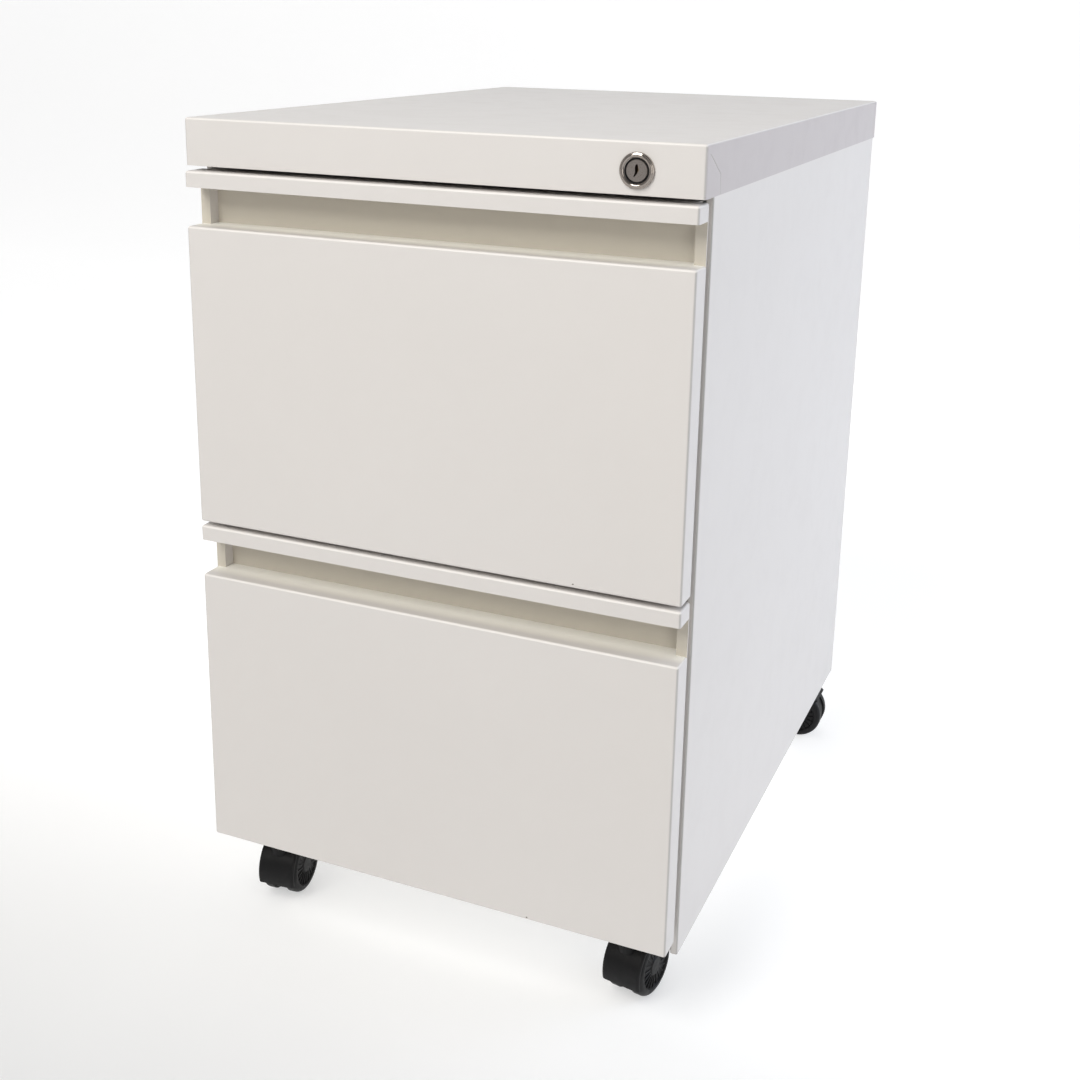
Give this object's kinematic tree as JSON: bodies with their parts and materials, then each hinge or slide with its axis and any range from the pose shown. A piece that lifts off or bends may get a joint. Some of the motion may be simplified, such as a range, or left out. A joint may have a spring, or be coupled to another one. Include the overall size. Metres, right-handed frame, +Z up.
{
  "type": "metal filing cabinet",
  "caption": "Low steel filing cabinet on swivel casters: folded top cap with a turning lock, full-width grip bars over finger grooves, full-extension drawers for hanging files.",
  "frame": {"origin": "on the floor under the middle of the cabinet's bounding box", "axes": "+Z up, -Y is the front where the drawers open, +X is the right side seen from the front"},
  "size_m": [0.4, 0.57, 0.665],
  "materials": {
    "shell_paint": "satin powder coat, light warm grey",
    "inner_paint": "satin powder coat",
    "slide_steel": "zinc plated, rolled",
    "zinc_steel": "zinc plated",
    "ball_steel": "polished",
    "lock_chrome": "bright nickel",
    "caster_plastic": "moulded black nylon",
    "wheel_nylon": "moulded black nylon, lightly scuffed",
    "counterweight_iron": "black painted plate"
  },
  "bodies": {
    "case": {"top_cap": "shell_paint", "side_panel_left": "shell_paint", "side_panel_right": "shell_paint", "back_panel": "shell_paint", "front_bottom_rail": "shell_paint", "case_rivets": "shell_paint", "bottom_panel": "inner_paint", "front_top_rail": "inner_paint", "uprights_left": "inner_paint", "uprights_right": "inner_paint", "counterweight": "counterweight_iron", "lock_housing": "lock_chrome", "lock_nut": "zinc_steel", "lock_bar_guides": "slide_steel", "caster_stems": "zinc_steel", "caster_nuts": "zinc_steel", "upper_slide_outer_left": "slide_steel", "upper_slide_outer_right": "slide_steel", "lower_slide_outer_left": "slide_steel", "lower_slide_outer_right": "slide_steel"},
    "lock_plug": {"lock_plug": "lock_chrome", "lock_cam": "zinc_steel"},
    "lock_bar": {"lock_bar": "zinc_steel"},
    "upper_drawer": {"upper_drawer_front": "shell_paint", "upper_front_liner": "inner_paint", "upper_drawer_tray": "inner_paint", "upper_drawer_back": "inner_paint", "upper_file_rails": "zinc_steel", "upper_lock_catch": "zinc_steel", "upper_slide_inner_left": "slide_steel", "upper_slide_inner_right": "slide_steel"},
    "upper_middles": {"upper_slide_middle_left": "slide_steel", "upper_slide_middle_right": "slide_steel"},
    "upper_outer_cage": {"upper_outer_balls": "ball_steel"},
    "upper_inner_cage": {"upper_inner_balls": "ball_steel"},
    "lower_drawer": {"lower_drawer_front": "shell_paint", "lower_front_liner": "inner_paint", "lower_drawer_tray": "inner_paint", "lower_drawer_back": "inner_paint", "lower_file_rails": "zinc_steel", "lower_lock_catch": "zinc_steel", "lower_slide_inner_left": "slide_steel", "lower_slide_inner_right": "slide_steel"},
    "lower_middles": {"lower_slide_middle_left": "slide_steel", "lower_slide_middle_right": "slide_steel"},
    "lower_outer_cage": {"lower_outer_balls": "ball_steel"},
    "lower_inner_cage": {"lower_inner_balls": "ball_steel"},
    "front_left_caster": {"front_left_caster_hood": "caster_plastic"},
    "front_left_wheel_a": {"front_left_wheel_a": "wheel_nylon"},
    "front_left_wheel_b": {"front_left_wheel_b": "wheel_nylon"},
    "front_right_caster": {"front_right_caster_hood": "caster_plastic"},
    "front_right_wheel_a": {"front_right_wheel_a": "wheel_nylon"},
    "front_right_wheel_b": {"front_right_wheel_b": "wheel_nylon"},
    "rear_left_caster": {"rear_left_caster_hood": "caster_plastic"},
    "rear_left_wheel_a": {"rear_left_wheel_a": "wheel_nylon"},
    "rear_left_wheel_b": {"rear_left_wheel_b": "wheel_nylon"},
    "rear_right_caster": {"rear_right_caster_hood": "caster_plastic"},
    "rear_right_wheel_a": {"rear_right_wheel_a": "wheel_nylon"},
    "rear_right_wheel_b": {"rear_right_wheel_b": "wheel_nylon"}
  },
  "joints": [
    {"name": "upper_drawer_slide", "type": "slide", "parent": "case", "child": "upper_drawer", "axis": [0, -1, 0], "range_m": [0, 0.48]},
    {"name": "upper_middles_slide", "type": "slide", "parent": "case", "child": "upper_middles", "axis": [0, -1, 0], "range_m": [0, 0.2405]},
    {"name": "upper_outer_cage_slide", "type": "slide", "parent": "case", "child": "upper_outer_cage", "axis": [0, -1, 0], "range_m": [0, 0.1205]},
    {"name": "upper_inner_cage_slide", "type": "slide", "parent": "case", "child": "upper_inner_cage", "axis": [0, -1, 0], "range_m": [0, 0.3605]},
    {"name": "lower_drawer_slide", "type": "slide", "parent": "case", "child": "lower_drawer", "axis": [0, -1, 0], "range_m": [0, 0.48]},
    {"name": "lower_middles_slide", "type": "slide", "parent": "case", "child": "lower_middles", "axis": [0, -1, 0], "range_m": [0, 0.2405]},
    {"name": "lower_outer_cage_slide", "type": "slide", "parent": "case", "child": "lower_outer_cage", "axis": [0, -1, 0], "range_m": [0, 0.1205]},
    {"name": "lower_inner_cage_slide", "type": "slide", "parent": "case", "child": "lower_inner_cage", "axis": [0, -1, 0], "range_m": [0, 0.3605]},
    {"name": "lock_turn", "type": "hinge", "parent": "case", "child": "lock_plug", "pos_m": [0.1535, -0.28, 0.646], "axis": [0, -1, 0], "range_deg": [0, 90.5]},
    {"name": "lock_bar_lift", "type": "slide", "parent": "case", "child": "lock_bar", "axis": [0, 0, 1], "range_m": [0, 0.01132]},
    {"name": "front_left_swivel", "type": "hinge", "parent": "case", "child": "front_left_caster", "pos_m": [-0.1615, -0.2445, 0.057], "axis": [0, 0, 1], "continuous": true},
    {"name": "front_left_roll_a", "type": "hinge", "parent": "front_left_caster", "child": "front_left_wheel_a", "pos_m": [-0.16333, -0.2271, 0.025], "axis": [0.9945, 0.1045, 0], "continuous": true},
    {"name": "front_left_roll_b", "type": "hinge", "parent": "front_left_caster", "child": "front_left_wheel_b", "pos_m": [-0.16333, -0.2271, 0.025], "axis": [0.9945, 0.1045, 0], "continuous": true},
    {"name": "front_right_swivel", "type": "hinge", "parent": "case", "child": "front_right_caster", "pos_m": [0.1555, -0.2445, 0.057], "axis": [0, 0, 1], "continuous": true},
    {"name": "front_right_roll_a", "type": "hinge", "parent": "front_right_caster", "child": "front_right_wheel_a", "pos_m": [0.15854, -0.22727, 0.025], "axis": [0.9848, -0.1736, 0], "continuous": true},
    {"name": "front_right_roll_b", "type": "hinge", "parent": "front_right_caster", "child": "front_right_wheel_b", "pos_m": [0.15854, -0.22727, 0.025], "axis": [0.9848, -0.1736, 0], "continuous": true},
    {"name": "rear_left_swivel", "type": "hinge", "parent": "case", "child": "rear_left_caster", "pos_m": [-0.157, 0.247, 0.057], "axis": [0, 0, 1], "continuous": true},
    {"name": "rear_left_roll_a", "type": "hinge", "parent": "rear_left_caster", "child": "rear_left_wheel_a", "pos_m": [-0.14825, 0.23184, 0.025], "axis": [-0.866, -0.5, 0], "continuous": true},
    {"name": "rear_left_roll_b", "type": "hinge", "parent": "rear_left_caster", "child": "rear_left_wheel_b", "pos_m": [-0.14825, 0.23184, 0.025], "axis": [-0.866, -0.5, 0], "continuous": true},
    {"name": "rear_right_swivel", "type": "hinge", "parent": "case", "child": "rear_right_caster", "pos_m": [0.157, 0.247, 0.057], "axis": [0, 0, 1], "continuous": true},
    {"name": "rear_right_roll_a", "type": "hinge", "parent": "rear_right_caster", "child": "rear_right_wheel_a", "pos_m": [0.1745, 0.247, 0.025], "axis": [0, -1, 0], "continuous": true},
    {"name": "rear_right_roll_b", "type": "hinge", "parent": "rear_right_caster", "child": "rear_right_wheel_b", "pos_m": [0.1745, 0.247, 0.025], "axis": [0, -1, 0], "continuous": true}
  ],
  "couplings": [
    {"joint": "upper_middles_slide", "follows": "upper_drawer_slide", "ratio": 0.5},
    {"joint": "upper_outer_cage_slide", "follows": "upper_drawer_slide", "ratio": 0.25},
    {"joint": "upper_inner_cage_slide", "follows": "upper_drawer_slide", "ratio": 0.75},
    {"joint": "lower_middles_slide", "follows": "lower_drawer_slide", "ratio": 0.5},
    {"joint": "lower_outer_cage_slide", "follows": "lower_drawer_slide", "ratio": 0.25},
    {"joint": "lower_inner_cage_slide", "follows": "lower_drawer_slide", "ratio": 0.75},
    {"joint": "lock_turn", "follows": "lock_bar_lift", "rad_per_m": 138.84}
  ]
}
